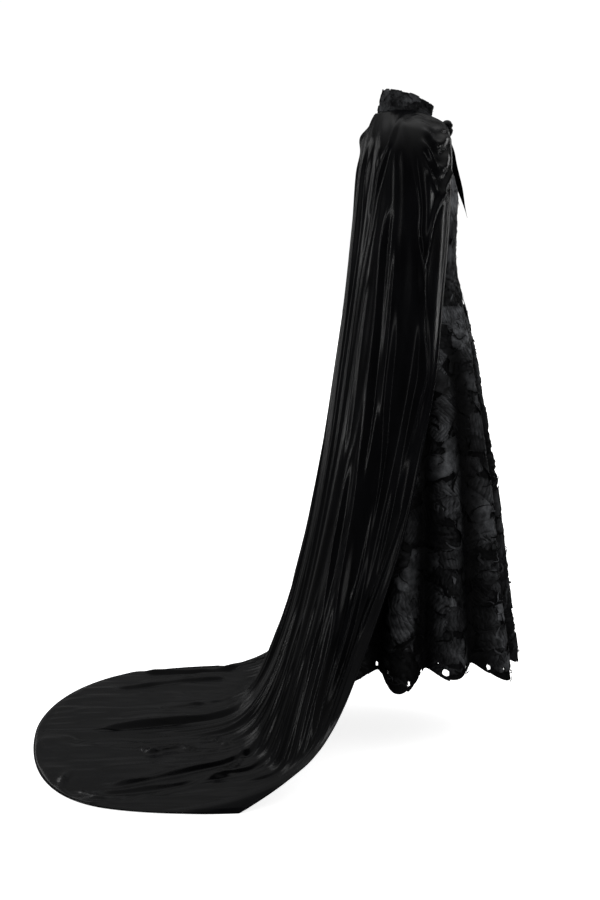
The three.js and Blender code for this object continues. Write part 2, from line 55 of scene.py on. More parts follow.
# Rings of the dress, from the neck seam down its side
DRESS = table("at sideX sideY sideZ frontY frontZ backY backZ fold", [
    (0, 60, 0, -4, -59, -13, 56, 3, 0),
    (62, 115, 2, -34, -75, -42, 61, -26, 0),
    (113, 160, 3, -58, -90, -74, 72, -58, 0),
    (153, 158, 2, -94, -102, -110, 81, -94, 0),
    (205, 151, -4, -140, -114, -150, 86, -140, 0),
    (255, 147, -10, -190, -124, -190, 87, -190, 0),
    (305, 141, -16, -240, -124, -240, 84, -240, 0),
    (395, 127, -24, -330, -121, -330, 72, -330, 0),
    (455, 120, -29, -390, -128, -390, 64, -390, 0),
    (490, 121, -31, -425, -138, -425, 64, -425, 0),
    (545, 136, -33, -480, -152, -480, 80, -480, 3),
    (625, 158, -33, -560, -168, -560, 100, -560, 9),
    (715, 178, -32, -650, -181, -650, 118, -650, 16),
    (845, 203, -30, -780, -200, -780, 138, -780, 24),
    (985, 223, -28, -920, -220, -920, 156, -920, 32),
    (1145, 243, -26, -1080, -234, -1080, 176, -1080, 40),
    (1285, 258, -25, -1220, -250, -1220, 194, -1220, 46),
    (1410, 271, -25, -1345, -268, -1345, 210, -1345, 50),
])
NECK_AT = 1.3
SHOULDER_AT = 113
ARMPIT_AT = 255
WAIST_AT = 490
HEM_AT = 1392
HEM_RISE = 38
ARMHOLE_CUT = 30

# Ridges of the skirt, in degrees round from the front, and how far each one's hem is lifted
RIDGES = table("angle lift", [
    (-166, 4), (-135, 12), (-105, 0), (-76, 30), (-38, 2), (-5, 10), (31, 0), (66, 14), (98, 4),
    (131, 16), (161, 6),
])

# Gores of the skirt between their seams
GORES = [
    ("skirt_front", -24, 24),
    ("skirt_side_front_left", 24, 72),
    ("skirt_side_back_left", 72, 126),
    ("skirt_back_left", 126, 180),
    ("skirt_back_right", -180, -126),
    ("skirt_side_back_right", -126, -72),
    ("skirt_side_front_right", -72, -24),
]

# Sections of the cape from centre back over the side to the front edge, for the right half
CAPE = table("at backY backZ sideX sideY sideZ edgeX edgeY edgeZ fold round", [
    (0, 63, -1.5, 75, -2, 0.5, 18, -97, -25, 1.5, 1.1),
    (40, 75, -27, 106, 8, -15, 52, -100, -48, 4, 1.1),
    (95, 88, -77, 172, 4, -48, 101, -98, -89, 6, 1.15),
    (170, 97, -146, 216, 3, -104, 136, -92, -152, 8, 1.18),
    (310, 109, -282, 234, 0, -232, 162, -82, -280, 10, 1.18),
    (470, 126, -440, 243, 13, -392, 186, -66, -440, 12, 1.18),
    (650, 149, -620, 249, 36, -572, 207, -50, -605, 14, 1.15),
    (860, 176, -825, 266, 74, -778, 238, -12, -785, 17, 1.1),
    (1075, 214, -1035, 304, 128, -990, 286, 31, -955, 19, 1.08),
    (1295, 270, -1245, 362, 190, -1192, 362, 94, -1118, 19, 1.05),
    (1460, 334, -1395, 436, 236, -1335, 452, 158, -1253, 17, 1),
    (1600, 432, FLOOR, 502, 274, -1424, 534, 211, -1332, 12, 1),
    (1790, 640, FLOOR, 574, 440, FLOOR, 598, 278, -1396, 7, 1),
    (2020, 884, FLOOR, 600, 698, FLOOR, 648, 424, FLOOR, 2, 1),
])
# The left half's front edge meets the floor sooner, and its train is a little narrower
CAPE_LEFT = {name: values.copy() for name, values in CAPE.items()}
CAPE_LEFT["edgeX"][0] = 17.3
CAPE_LEFT["edgeY"][11:13] = 218, 308
CAPE_LEFT["edgeZ"][11:13] = -1356, -1450
CAPE_LEFT["sideX"][13] = 584
CAPE_LEFT["sideY"][13] = 654
CAPE_SIDE = 0.68
CAPE_LENGTH = 2020

# Main folds of the two halves: place across at the neck and at the hem, height and width
FOLDS_RIGHT = table("top low height width", [
    (0, 0, 0.5, 0.05), (0.2, 0.15, 0.9, 0.05), (0.36, 0.3, 1.2, 0.052), (0.49, 0.45, 0.8, 0.04),
    (0.6, 0.58, 1.0, 0.042), (0.77, 0.75, 1.3, 0.05), (0.93, 0.9, 0.7, 0.045),
])
FOLDS_LEFT = table("top low height width", [
    (0, 0, 0.5, 0.05), (0.18, 0.17, 1.1, 0.05), (0.33, 0.32, 0.8, 0.045), (0.46, 0.47, 1.1, 0.045),
    (0.62, 0.61, 1.2, 0.045), (0.79, 0.77, 0.9, 0.05), (0.94, 0.91, 0.8, 0.045),
])

# Ridges of the velvet in three tables. Each row has a height, a half width and the places that
# the ridge runs through, in pairs of station and share of the section.
RIDGES_RIGHT = [
    (8, 8, (20, 0.7, 90, 0.51, 135, 0.464, 175, 0.4, 250, 0.324, 330, 0.288, 460, 0.234, 740,
     0.244, 1015, 0.236, 1295, 0.276, 1560, 0.27, 1740, 0.275)),
    (9, 8, (285, 0.478, 350, 0.43, 485, 0.444, 620, 0.47, 760, 0.51, 890, 0.538, 1020, 0.58, 1155,
     0.62, 1300, 0.652, 1520, 0.64, 1700, 0.62)),
    (8, 8, (355, 0.522, 495, 0.558, 625, 0.592, 760, 0.62, 895, 0.666, 1030, 0.702, 1175, 0.742,
     1325, 0.776, 1500, 0.75, 1690, 0.7)),
    (16, 9.5, (110, 0.674, 285, 0.672, 355, 0.678, 415, 0.722, 480, 0.756, 540, 0.802, 605, 0.844,
     675, 0.88, 750, 0.866, 930, 0.852)),
    (8, 6, (150, 0.985, 180, 0.972, 235, 0.91, 300, 0.83, 365, 0.788, 430, 0.762, 480, 0.75)),
    (9, 12, (60, 0.16, 170, 0.1, 320, 0.075, 560, 0.07, 860, 0.075, 1200, 0.085, 1560, 0.09, 1780,
     0.095)),
    (6, 7, (90, 0.27, 200, 0.19, 380, 0.155, 640, 0.15, 900, 0.16, 1180, 0.17, 1560, 0.18)),
    (3.5, 6, (430, 0.335, 560, 0.33, 720, 0.35, 880, 0.37)),
    (6, 7, (820, 0.43, 980, 0.46, 1160, 0.5, 1340, 0.53, 1560, 0.53, 1760, 0.51)),
    (4, 8, (900, 0.8, 1060, 0.83, 1200, 0.86, 1330, 0.88)),
    (6, 8, (980, 0.93, 1120, 0.9, 1290, 0.885, 1460, 0.86, 1640, 0.84)),
    (4, 6, (130, 0.36, 210, 0.3, 300, 0.255)),
]
RIDGES_LEFT = [
    (8, 9, (30, 0.62, 110, 0.47, 200, 0.36, 330, 0.27, 520, 0.225, 800, 0.215, 1100, 0.23, 1400,
     0.25, 1620, 0.26)),
    (8, 8, (250, 0.4, 420, 0.37, 640, 0.4, 900, 0.44, 1180, 0.5, 1450, 0.53, 1610, 0.52)),
    (9, 9, (310, 0.56, 520, 0.55, 760, 0.6, 1000, 0.66, 1240, 0.7, 1540, 0.69)),
    (12, 10, (100, 0.7, 300, 0.71, 450, 0.76, 620, 0.82, 800, 0.86, 980, 0.85)),
    (8, 6, (150, 0.985, 190, 0.96, 260, 0.88, 350, 0.81, 460, 0.775)),
    (9, 12, (60, 0.14, 190, 0.09, 360, 0.07, 620, 0.075, 900, 0.07, 1240, 0.08, 1620, 0.085)),
    (6, 7, (120, 0.25, 240, 0.18, 420, 0.145, 700, 0.15, 980, 0.155, 1240, 0.165, 1560, 0.17)),
    (5, 7, (560, 0.3, 700, 0.305, 880, 0.33, 1080, 0.345, 1300, 0.37)),
    (5, 6, (330, 0.47, 480, 0.46, 640, 0.48, 760, 0.5)),
    (6, 8, (760, 0.74, 930, 0.76, 1100, 0.8, 1280, 0.84)),
    (5, 7, (1020, 0.93, 1180, 0.905, 1360, 0.88, 1560, 0.86)),
    (4, 6, (210, 0.63, 320, 0.64, 450, 0.66)),
]
# Swags that the knot pulls up on both halves
SWAGS = [
    (6, 7, (84, 0.76, 106, 0.82, 112, 0.87, 92, 0.93, 52, 0.975)),
    (-4, 8, (104, 0.75, 132, 0.8, 142, 0.86, 122, 0.93, 78, 0.975)),
    (8, 8, (122, 0.735, 160, 0.79, 180, 0.86, 162, 0.93, 108, 0.975)),
    (-4, 9, (150, 0.74, 186, 0.79, 206, 0.86, 190, 0.93, 140, 0.975)),
    (5, 6.5, (58, 0.77, 72, 0.84, 64, 0.9, 36, 0.965)),
    (3, 6, (38, 0.72, 36, 0.8, 28, 0.88, 12, 0.96)),
    (5.5, 8, (186, 0.76, 222, 0.815, 240, 0.88, 226, 0.94)),
]
# A pouch of cloth that stands up behind the left shoulder
POUCH = dict(height=13, at=80, across=50, long=24, wide=30)
# Creases of the train, in pairs of X and Y on the floor. Below 0 they are sunk.
TRAIN = [
    (-3, 9, (548, 640, 553, 488, 543, 350)),
    (-3, 8, (362, 712, 417, 597, 462, 479, 470, 400)),
    (-3, 8, (180, 597, 211, 493, 242, 387)),
    (-3, 7, (336, 527, 340, 440, 367, 378)),
    (-4, 9, (-22, 750, 27, 585, 68, 407, 76, 350)),
    (5, 7, (-101, 639, -204, 608, -190, 581, -168, 541, -204, 505, -219, 422)),
    (4, 6.5, (-113, 500, -133, 456, -195, 418)),
    (-2.5, 9, (-471, 700, -402, 575, -300, 423, -236, 330)),
    (-2, 9, (-517, 737, -488, 586, -399, 427, -330, 330)),
    (3, 6.5, (-583, 690, -464, 525, -375, 442, -199, 370)),
    (3, 6.5, (-316, 786, -442, 800, -506, 788, -556, 762, -575, 690)),
    (2.6, 6, (-474, 757, -525, 732, -562, 695)),
    (1.4, 8, (-34, 824, -126, 749, -150, 690)),
    (1.5, 8, (250, 800, 230, 700, 280, 600)),
    (1.5, 8, (120, 700, 150, 580, 140, 470)),
    (1.5, 8, (-300, 640, -330, 560, -290, 480)),
    (1.3, 8, (440, 640, 500, 560, 505, 470)),
    (-2, 8, (-120, 800, -90, 700, -110, 620)),
    (4.6, 11, (-2, 760, 47, 590, 88, 412, 96, 340)),
    (3.4, 10, (-451, 706, -382, 582, -280, 423, -216, 330)),
    (3.4, 10, (-497, 743, -468, 592, -379, 427, -310, 330)),
    (3, 10, (565, 640, 570, 488, 560, 350)),
    (3, 10, (380, 712, 434, 600, 478, 480, 486, 400)),
]

# ---- small maths ----


def mix(a, b, t):
    return a + (b - a) * t


def ease(t):
    """Smooth step from 0 to 1."""
    t = np.clip(t, 0, 1)
    return t * t * (3 - 2 * t)


def bump(distance):
    """Bell of height 1 at distance 0."""
    return np.exp(-distance * distance)


def scatter(i, j):
    """Uneven but repeatable share from 0 to 1 for the piece with the numbers i and j."""
    value = np.sin(i * 12.9898 + j * 78.233) * 43758.5453
    return value - np.floor(value)


def ripple(x, y, seed):
    """Smooth uneven value from about -1 to 1 over a plane: value noise on whole numbers."""
    i, j = np.floor(x), np.floor(y)
    s, t = ease(x - i), ease(y - j)
    low = mix(scatter(i + seed, j), scatter(i + 1 + seed, j), s)
    high = mix(scatter(i + seed, j + 1), scatter(i + 1 + seed, j + 1), s)
    return 2 * mix(low, high, t) - 1


def cubic(a, b, start, end, length, t):
    """From a to b as t goes from 0 to 1, with the slopes `start` and `end` over the length."""
    return (a * (2 * t**3 - 3 * t**2 + 1) + b * (3 * t**2 - 2 * t**3)
            + length * (start * (t**3 - 2 * t**2 + t) + end * (t**3 - t**2)))


def smooth(rows, name, at):
    """Cubic through one column of a table at the stations `at`: each slope is the one between the
    neighbours, and the end slopes are those of a parabola through three rows."""
    x, v = rows["at"], rows[name]
    slope = np.empty_like(v)
    slope[1:-1] = (v[2:] - v[:-2]) / (x[2:] - x[:-2])
    for end, near, far in ((0, 1, 2), (-1, -2, -3)):
        slope[end] = (2 * (v[near] - v[end]) / (x[near] - x[end])
                      - (v[far] - v[end]) / (x[far] - x[end]))
    i = np.clip(np.searchsorted(x, at) - 1, 0, len(x) - 2)
    length = x[i + 1] - x[i]
    return cubic(v[i], v[i + 1], slope[i], slope[i + 1], length, (at - x[i]) / length)


def unit(vectors):
    return vectors / np.maximum(np.linalg.norm(vectors, axis=-1, keepdims=True), 1e-9)


# ---- surfaces of the garment ----


def skirt_fold(angle):
    """1 on a ridge of the skirt and 0 in the valley between two, and the hem's lift there."""
    turned = angle - 360 * np.round(angle / 360)
    ridge, count = RIDGES["angle"], len(RIDGES["angle"])
    i = (np.searchsorted(ridge, turned, side="right") - 1) % count
    after = (i + 1) % count
    t = ((turned - ridge[i]) % 360) / ((ridge[after] - ridge[i]) % 360)
    return 1 - np.sin(np.pi * t) ** 2.2, mix(RIDGES["lift"][i], RIDGES["lift"][after], ease(t))


def ring_point(ring, angle, bend=2):
    """Two half ellipses that meet at the sides, at an angle round from the front."""
    across, ahead = np.sin(np.radians(angle)), np.cos(np.radians(angle))
    share = np.abs(ahead)
    end_y = np.where(ahead > 0, ring["frontY"], ring["backY"])
    end_z = np.where(ahead > 0, ring["frontZ"], ring["backZ"])
    return np.stack([ring["sideX"] * across, mix(ring["sideY"], end_y, share),
                     mix(ring["sideZ"], end_z, share**bend)], -1)


def dress_point(at, angle):
    """Inner face of the dress: the ring at a station, pushed out on ridges and in at valleys."""
    at, angle = np.broadcast_arrays(np.asarray(at, float), np.asarray(angle, float))
    point = ring_point({name: smooth(DRESS, name, at) for name in DRESS}, angle)
    push = smooth(DRESS, "fold", at) * (skirt_fold(angle)[0] - 0.5)
    point[..., 0] += push * np.sin(np.radians(angle))
    point[..., 1] -= push * np.cos(np.radians(angle))
    return point


def dress_place(at, angle):
    """Inner face of the dress and its unit normal, the cross product of its two directions."""
    along = dress_point(at + 2, angle) - dress_point(at - 2, angle)
    around = dress_point(at, angle + 0.6) - dress_point(at, angle - 0.6)
    return dress_point(at, angle), unit(np.cross(along, around))


def ring_radius(at):
    side, front, back = (smooth(DRESS, name, np.asarray(at, float))
                         for name in ("sideX", "frontY", "backY"))
    return (side + (back - front) / 2) / 2


def hem_station(angle):
    out, lift = skirt_fold(angle)
    return HEM_AT - lift - HEM_RISE * (1 - out)


def side_angle(at):
    """Angle of the side seam, or of the armhole's edge where a panel passes it."""
    t = np.clip((at - SHOULDER_AT) / (ARMPIT_AT - SHOULDER_AT), 0, 1)
    return 90 - ARMHOLE_CUT * np.sin(np.pi * t) ** 0.7


def cape_point(rows, at, share):
    """Two cubic arcs, from centre back to the side and from there to the front edge."""
    at, share = np.broadcast_arrays(np.asarray(at, float), np.asarray(share, float))
    row = {name: smooth(rows, name, at) for name in rows}
    back = np.stack([0 * at, row["backY"], row["backZ"]], -1)
    side = np.stack([row["sideX"], row["sideY"], row["sideZ"]], -1)
    edge = np.stack([row["edgeX"], row["edgeY"], row["edgeZ"]], -1)
    first = np.linalg.norm(side - back, axis=-1, keepdims=True)
    second = np.linalg.norm(edge - side, axis=-1, keepdims=True)
    arrive, leave = (side - back) / first, (edge - side) / second
    passing = (arrive * second + leave * first) / (first + second)
    rounded = passing * row["round"][..., None]
    start = np.zeros_like(back)
    start[..., 0] = row["round"] * row["sideX"] / first[..., 0]
    share = share[..., None]
    near = cubic(back, side, start, rounded, first, share / CAPE_SIDE)
    far = cubic(side, edge, rounded, leave * 2 - passing, second,
                (share - CAPE_SIDE) / (1 - CAPE_SIDE))
    point = np.where(share <= CAPE_SIDE, near, far)
    point[..., 2] = np.maximum(point[..., 2], FLOOR)
    return point


# ---- making meshes ----


def grid_faces(rows, columns, first=0, turn=False):
    """Four-sided faces of a grid of points that is stored row by row."""
    i, j = np.meshgrid(np.arange(rows - 1), np.arange(columns - 1), indexing="ij")
    a = (first + i * columns + j).ravel()
    faces = np.stack([a, a + 1, a + columns + 1, a + columns], -1)
    return faces[:, ::-1] if turn else faces


def tube_faces(rings, sides):
    """Four-sided faces round a tube of points that is stored ring by ring."""
    i, j = np.meshgrid(np.arange(rings - 1), np.arange(sides), indexing="ij")
    a, b = i * sides + j, i * sides + (j + 1) % sides
    return np.stack([a, b, b + sides, a + sides], -1).reshape(-1, 4)


def make_piece(name, points, faces, finish, flat=None):
    """Mesh object from an array of points in millimetres and one of four-sided faces.
    `flat` holds a place on the cut cloth for each point, in metres, as its UV map."""
    mesh = bpy.data.meshes.new(name)
    mesh.from_pydata((points * MM).tolist(), [], faces.tolist(), shade_flat=False)
    if flat is not None:
        layer = mesh.uv_layers.new(name="cloth")
        layer.data.foreach_set("uv", flat[faces.ravel()].astype(np.float32).ravel())
    mesh.validate()
    piece = bpy.data.objects.new(name, mesh)
    bpy.context.scene.collection.objects.link(piece)
    mesh.materials.append(finish)
    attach(piece, "root")
    return piece


def thicken(piece, thickness):
    """Gives a sheet its wall, inwards from the face that is seen."""
    wall = piece.modifiers.new("wall", "SOLIDIFY")
    wall.thickness = thickness * MM
    wall.offset = -1
    wall.use_even_offset = False


# ---- materials ----


class Value:
    """A node's socket. The operators add the Math node that works them out."""

    def __init__(self, nodes, socket):
        self.nodes = nodes
        self.socket = socket

    def maths(self, operation, a, b):
        return self.nodes.node("ShaderNodeMath", {"operation": operation}, {0: a, 1: b})

    def __add__(self, other):
        return self.maths("ADD", self, other)

    def __radd__(self, other):
        return self.maths("ADD", other, self)

    def __rsub__(self, other):
        return self.maths("SUBTRACT", other, self)

    def __mul__(self, other):
        return self.maths("MULTIPLY", self, other)

    def __pow__(self, other):
        return self.maths("POWER", self, other)


class Nodes:
    """The nodes of a material or of the world."""

    def __init__(self, owner):
        owner.use_nodes = True
        self.tree = owner.node_tree

    def node(self, kind, settings, inputs, output=0):
        """One node: its settings first, then the values or links it takes. Gives its output."""
        node = self.tree.nodes.new(kind)
        for key, value in settings.items():
            setattr(node, key, value)
        for key, value in inputs.items():
            self.put(node.inputs[key], value)
        return Value(self, node.outputs[output])

    def put(self, socket, value):
        if isinstance(value, Value):
            self.tree.links.new(value.socket, socket)
        else:
            socket.default_value = value


class Finish(Nodes):
    """A material with one Principled shader."""

    def __init__(self, name, **constants):
        self.material = bpy.data.materials.new(name)
        super().__init__(self.material)
        self.shader = self.tree.nodes["Principled BSDF"]
        for socket, value in constants.items():
            self.set(socket.replace("_", " "), value)

    def set(self, name, value):
        self.put(self.shader.inputs[name], value)

    def object_place(self):
        return self.node("ShaderNodeTexCoord", {}, {}, "Object")

    def cloth_place(self):
        return self.node("ShaderNodeUVMap", {"uv_map": "cloth"}, {})

    def noise(self, place, scale, detail=2.0, roughness=0.5):
        return self.node("ShaderNodeTexNoise", {}, {
            "Vector": place, "Scale": scale, "Detail": detail, "Roughness": roughness})

    def stretched(self, place, scale):
        return self.node("ShaderNodeMapping", {}, {"Vector": place, "Scale": scale})

    def named(self, name):
        """The number that add_values gave to each point."""
        return self.node("ShaderNodeAttribute", {"attribute_name": name}, {}, "Fac")

    def cut_gaps(self):
        """Nothing shows where the value "gap" is above 0."""
        gap = self.named("gap")
        self.set("Alpha", 1 - gap.maths("GREATER_THAN", gap, 0.0))

    def grey(self, low, high, share):
        """Colour between two colours by a share."""
        return self.node("ShaderNodeMix", {"data_type": "RGBA"}, {
            "Factor": share, 6: (*low, 1), 7: (*high, 1)}, 2)

    def raise_by(self, height, distance, strength=1.0):
        self.set("Normal", self.node("ShaderNodeBump", {}, {
            "Height": height, "Distance": distance * MM, "Strength": strength}))


def velvet_finish():
    """Black stretch velvet: short nap, brushed a little lighter and darker, with narrow soft gloss
    where it turns over a fold."""
    finish = Finish("black_velvet", IOR=1.11, Sheen_Weight=0.007, Sheen_Roughness=0.3,
                    Sheen_Tint=(0.8, 0.84, 0.95, 1))
    place = finish.object_place()
    brushed = finish.noise(finish.stretched(place, (1, 1, 0.3)), 24.0, 4.0, 0.6)
    cloudy = finish.noise(place, 7.0, 2.0, 0.5)
    nap = finish.noise(place, 2400.0, 2.0, 0.7)
    finish.set("Base Color", finish.grey((0.0003, 0.0003, 0.0004), (0.0026, 0.0027, 0.0032),
                                         brushed * cloudy * 1.6))
    finish.set("Roughness", 0.17 + brushed * 0.1)
    finish.raise_by(nap * 0.4 + brushed * 0.25, 0.35, 0.35)
    return finish.material


THREAD = 0.16  # half the width of a thread, as a share of a cell


def net_finish():
    """Dull black net, a fine six-sided mesh seen only as its threads, darkened by its shade value:
    painted shade between the skirt's ridges.
    """
    finish = Finish("black_net", Roughness=0.75, IOR=1.08)
    cells = finish.node("ShaderNodeTexVoronoi", {"feature": "DISTANCE_TO_EDGE"}, {
        "Vector": finish.cloth_place(), "Scale": 420.0, "Randomness": 0.25})
    thread = finish.node("ShaderNodeMapRange", {}, {
        "Value": cells, "From Max": THREAD, "To Min": 1.0, "To Max": 0.0})
    finish.set("Base Color", finish.grey((0.0006, 0.0006, 0.0007), (0.007, 0.007, 0.0075),
                                         thread * finish.named("shade")))
    finish.raise_by(thread, 0.5, 0.8)
    finish.cut_gaps()
    return finish.material


def strip_finish():
    """Thin black cloth of the strips, worn grey here and there, with a weave that shows close up.
    Its shade value brings each patch's own tone and painted light: lighter laps and darker drops on
    the tucks, lighter on the bodice, near black between the skirt's ridges."""
    finish = Finish("tucked_strips", Roughness=0.55, IOR=1.09)
    place = finish.cloth_place()
    worn = finish.noise(finish.object_place(), 42.0, 3.0, 0.65)
    warp, weft = (finish.node("ShaderNodeTexWave", {"wave_type": "BANDS", "bands_direction": way}, {
        "Vector": place, "Scale": 230.0, "Distortion": 1.5, "Detail": 1.0}) for way in "XY")
    weave = warp * weft
    shade = finish.named("shade")
    finish.set("Base Color", finish.grey((0.0007, 0.0007, 0.0008), (0.135, 0.139, 0.148),
                                         shade * (worn ** 2.2) * 2.4 * (0.7 + weave * 0.6)))
    finish.set("Roughness", 0.42 + worn * 0.3)
    finish.raise_by(weave * 0.5 + worn * 1.5, 0.4, 0.7)
    finish.cut_gaps()
    return finish.material


VELVET_FINISH = velvet_finish()
NET_FINISH = net_finish()
STRIP_FINISH = strip_finish()

# ---- cape ----


CAPE_GRID = 208, 212
CAPE_WALL = 1.8  # wall of the solid, from the surface of its table outwards
BREAK_AT = 1590  # station where the cape meets the floor
SETTLING = 44  # rounds of rounding the bend there
FOLDS_KEPT = 0.36  # height of the main folds away from centre back, where only wide swells stay
CLEAR = 0.2  # room under the velvet on the floor
SEAM_HALF = 0.01  # half the gap of the centre back seam


def main_folds(folds, share, down, depth):
    """Sum of the main folds, each a bell across the section that moves evenly down the cape."""
    total = np.zeros_like(share)
    for top, low, height, width in zip(*folds.values()):
        total += depth * height * bump((share - mix(top, low, down)) / width)
    return total


def lines_relief(x, y, lines, seed):
    """Relief of soft ridges along lines in a plane. Across a line it is a narrow bell with a
    shallow trough beside it, and along it the height swells and fades out at both ends."""
    total = np.zeros_like(x)
    for number, (height, width, line) in enumerate(lines):
        line = np.reshape(line, (-1, 2)).astype(float)
        index = np.arange(len(line))
        fine = np.linspace(0, len(line) - 1, 5 * (len(line) - 1) + 1)
        along_x = smooth({"at": index, "place": line[:, 0]}, "place", fine)
        along_y = smooth({"at": index, "place": line[:, 1]}, "place", fine)
        nearest = np.full(x.shape, 1e9)
        side, progress = np.zeros_like(x), np.zeros_like(x)
        for k in range(len(fine) - 1):
            step_x, step_y = along_x[k + 1] - along_x[k], along_y[k + 1] - along_y[k]
            off_x, off_y = x - along_x[k], y - along_y[k]
            t = np.clip((off_x * step_x + off_y * step_y) / (step_x**2 + step_y**2), 0, 1)
            distance = np.hypot(off_x - t * step_x, off_y - t * step_y)
            closer = distance < nearest
            nearest = np.where(closer, distance, nearest)
            side = np.where(closer, np.sign(step_x * off_y - step_y * off_x), side)
            progress = np.where(closer, (k + t) / (len(fine) - 1), progress)
        across = nearest * side / width
        swell = 0.85 + 0.3 * ripple(progress * 7, 0 * progress + number, seed)
        fade = ease(progress * 7) * ease((1 - progress) * 7)
        profile = np.exp(-np.abs(across) ** 1.6) - 0.3 * bump((across - 2) / 0.9)
        total += height * swell * fade * profile
    return total


def fan_lines(sign, seed):
    """Fine folds side by side where the cape breaks onto the floor: each starts and ends at its
    own station, and they spread as they run out."""
    k = np.arange(15)
    first = 1090 + 230 * scatter(k, seed)
    last = 1680 + 230 * scatter(k, seed + 1)
    top = 0.03 + 0.052 * (k + 0.6 * scatter(k, seed + 2))
    low = top * (1 + 0.06 * (scatter(k, seed + 3) - 0.5))
    half_way = (first + last) / 2, mix(top, low, 0.4) - 0.006
    return [(2.2 + 2.6 * scatter(n, seed + 4), 4.5 + 2 * scatter(n, seed + 5),
             (first[n], top[n], half_way[0][n], half_way[1][n], last[n], low[n])) for n in k]


def settled(point, at):
    """The surface with its bend onto the floor rounded: each point is drawn again and again
    towards the mean of the two beside it down the cape, most of all at the break."""
    share = 0.95 * bump((at[1:-1] - BREAK_AT) / 230)[..., None]
    for _ in range(SETTLING):
        mean = (point[:-2] + 2 * point[1:-1] + point[2:]) / 4
        point[1:-1] = mix(point[1:-1], mean, share)
    return point


def on_cloth(lines, stations, girth):
    """The same lines with their share of the section turned into millimetres across."""
    turned = []
    for height, width, line in lines:
        line = np.reshape(line, (-1, 2)).astype(float)
        line[:, 1] *= np.interp(line[:, 0], stations, girth)
        turned.append((height, width, line.ravel()))
    return turned


def train_relief(x, y):
    """Cloth that lies on the floor: wide slack, wavy wrinkles and the creases of the train."""
    return (3.5 + 4.2 * ripple(x / 80, y / 150, 5) + 1.6 * ripple(x / 26 + 40, y / 75, 6)
            + 2.3 * lines_relief(x, y, TRAIN, 7))


def cape_half(name, rows, folds, ridges, sign, seed):
    """Velvet half: the solid's surface with softer main folds, the narrow ridges and swags on
    them, fine folds at the break, and the creases of the train where it lies on the floor."""
    row_count, column_count = CAPE_GRID
    step = np.linspace(0, 1, row_count)[:, None]
    down = step - 0.4 * np.sin(2 * np.pi * step) / (2 * np.pi)
    share = np.linspace(0, 1, column_count)[None, :]
    down, share = np.broadcast_arrays(down, share)
    at = down * CAPE_LENGTH

    point = settled(cape_point(rows, at, share), at)
    normal = unit(np.cross(np.gradient(point, axis=1), np.gradient(point, axis=0)))
    on_floor = ease((FLOOR + 60 - point[..., 2]) / 56)
    normal[:, 0, 0] = 0
    normal = unit(normal)
    girth = np.linalg.norm(np.diff(point, axis=1), axis=-1).sum(1)
    across = share * girth[:, None]
    from_seam = ease(across / 16)
    from_neck = ease(at / 26)
    from_hem = ease((CAPE_LENGTH - at) / 30)
    broad = main_folds(folds, share, down, smooth(rows, "fold", at))
    broad *= mix(FOLDS_KEPT, 1, bump(across / 40))
    lines = ridges + SWAGS + fan_lines(sign, seed)
    narrow = lines_relief(at, across, on_cloth(lines, at[:, 0], girth), seed)
    narrow *= mix(1, 0.8, on_floor)
    rolled = 1.6 * bump((across - girth[:, None] + 5) / 4)
    if sign > 0:
        narrow = narrow + (POUCH["height"] * bump((at - POUCH["at"]) / POUCH["long"])
                           * bump((across - POUCH["across"]) / POUCH["wide"]))
    slack = 0.7 * ripple(across / 48, at / 300, seed + 3)
    lying = on_floor * train_relief(sign * point[..., 0], point[..., 1])
    raised = broad * mix(1, 0.5, on_floor) + (narrow + slack + rolled) * from_seam * from_neck
    raised = (raised + lying) * from_hem + 2.2 * on_floor * bump((CAPE_LENGTH - at - 9) / 6)
    outside = point + normal * (raised + CAPE_WALL)[..., None]
    outside[..., 2] = np.maximum(outside[..., 2], FLOOR + VELVET + CLEAR)
    outside[..., 0] = sign * np.maximum(outside[..., 0], SEAM_HALF)
    faces = grid_faces(row_count, column_count, turn=sign > 0)
    piece = make_piece(name, outside.reshape(-1, 3), faces, VELVET_FINISH)
    thicken(piece, VELVET)
    return piece


# ---- dress ----

NET_FACE = 1.6  # outer face of the net, off the surface of its table
NET_RADIUS = 190  # radius at which the net's pattern keeps its true size
NO_GAP = -9.0  # far outside every gap

# Gaps in the net, in rings above the hem: how many round, how far turned, and their size
GAPS = table("above count turn size", [
    (13, 20, 3, 4.6), (26, 11, 14, 3.4), (150, 3, -36, 4.2), (330, 3, -34, 4.6),
])


def gap_places():
    """Angle, station and size of every gap in the skirt's net."""
    places = []
    for above, count, turn, size in zip(*GAPS.values()):
        step = 360 / count if count > 3 else 9
        k = np.arange(int(count))
        angle = turn + step * (k + 0.4 * scatter(k, above))
        angle = angle - 360 * np.round(angle / 360)
        places.append(np.stack([angle, hem_station(angle) - above, np.full(len(k), size)], -1))
    return np.concatenate(places)


GAP_PLACES = gap_places()


def openness(at, angle):
    """How far inside the nearest gap of the net a place lies: above 0 within, below 0 outside.
    Each gap is a rounded oblong, narrower or wider than the next, with a torn edge."""
    inside = np.full(np.shape(at), NO_GAP)
    radius = ring_radius(at)
    torn = 0.9 * ripple(np.radians(angle) * radius / 3.5, at / 3.5, 12)
    for number, (turn, station, size) in enumerate(GAP_PLACES):
        across = np.radians((angle - turn + 180) % 360 - 180) * radius
        narrow = mix(0.8, 1.7, scatter(number, 71))
        reach = ((np.abs(across) * narrow) ** 3 + (np.abs(at - station) * 0.75) ** 3) ** (1 / 3)
        inside = np.maximum(inside, 1.25 * size - reach + torn)
    return inside


def painted_valley_shade(at, angle):
    """Painted shade between the skirt's ridges: a factor on the colour that is 1 on the bodice and
    on the ridges of the skirt, falling to near 0 deep between two ridges.
    """
    depth = ease((at - WAIST_AT - 20) / 160)
    return mix(1, 0.015 + 0.985 * skirt_fold(angle)[0] ** 2, depth)


